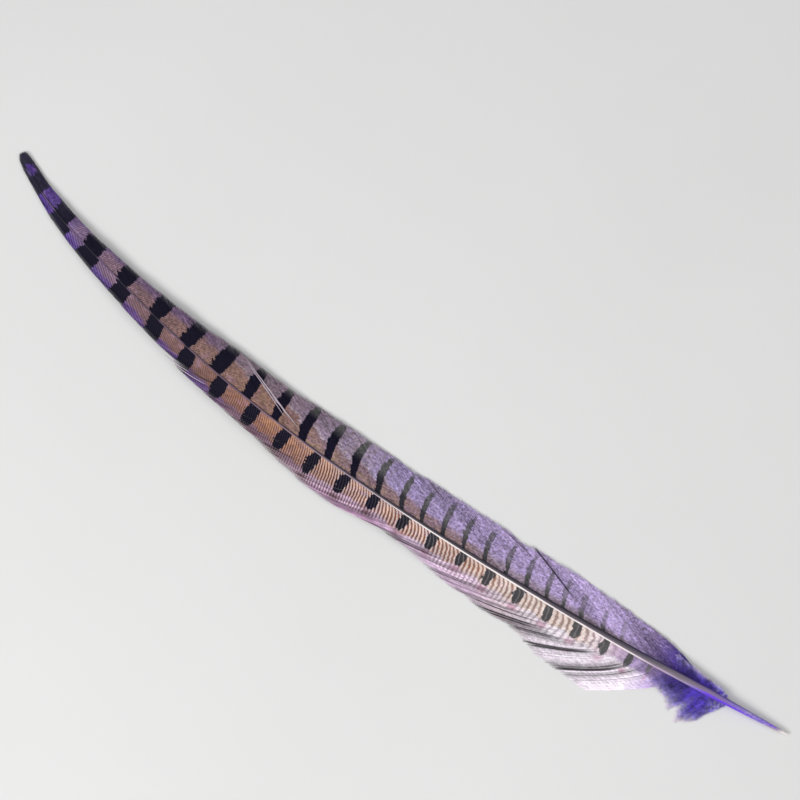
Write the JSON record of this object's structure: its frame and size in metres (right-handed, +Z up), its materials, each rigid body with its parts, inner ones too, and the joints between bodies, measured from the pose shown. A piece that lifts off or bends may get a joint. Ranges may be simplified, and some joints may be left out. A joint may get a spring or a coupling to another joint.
{
  "type": "pheasant tail feather",
  "caption": "Long barred pheasant tail feather lying on its underside: a bowed, tapering shaft between two webs of swept barbs, with a tuft of down above the bare quill.",
  "frame": {"origin": "on the surface that the feather lies on, under the middle of its box", "axes": "+X from the end of the quill towards the tip, +Y towards the left web, +Z up out of the feather's upper face"},
  "size_m": [0.4944, 0.0504, 0.0082],
  "materials": {
    "feather": "soft matt barbs, tan to lilac with dark cross bars, and a smooth shaft, pale on one flank and brown on the other"
  },
  "bodies": {
    "root": {"feather": "feather"}
  },
  "joints": []
}
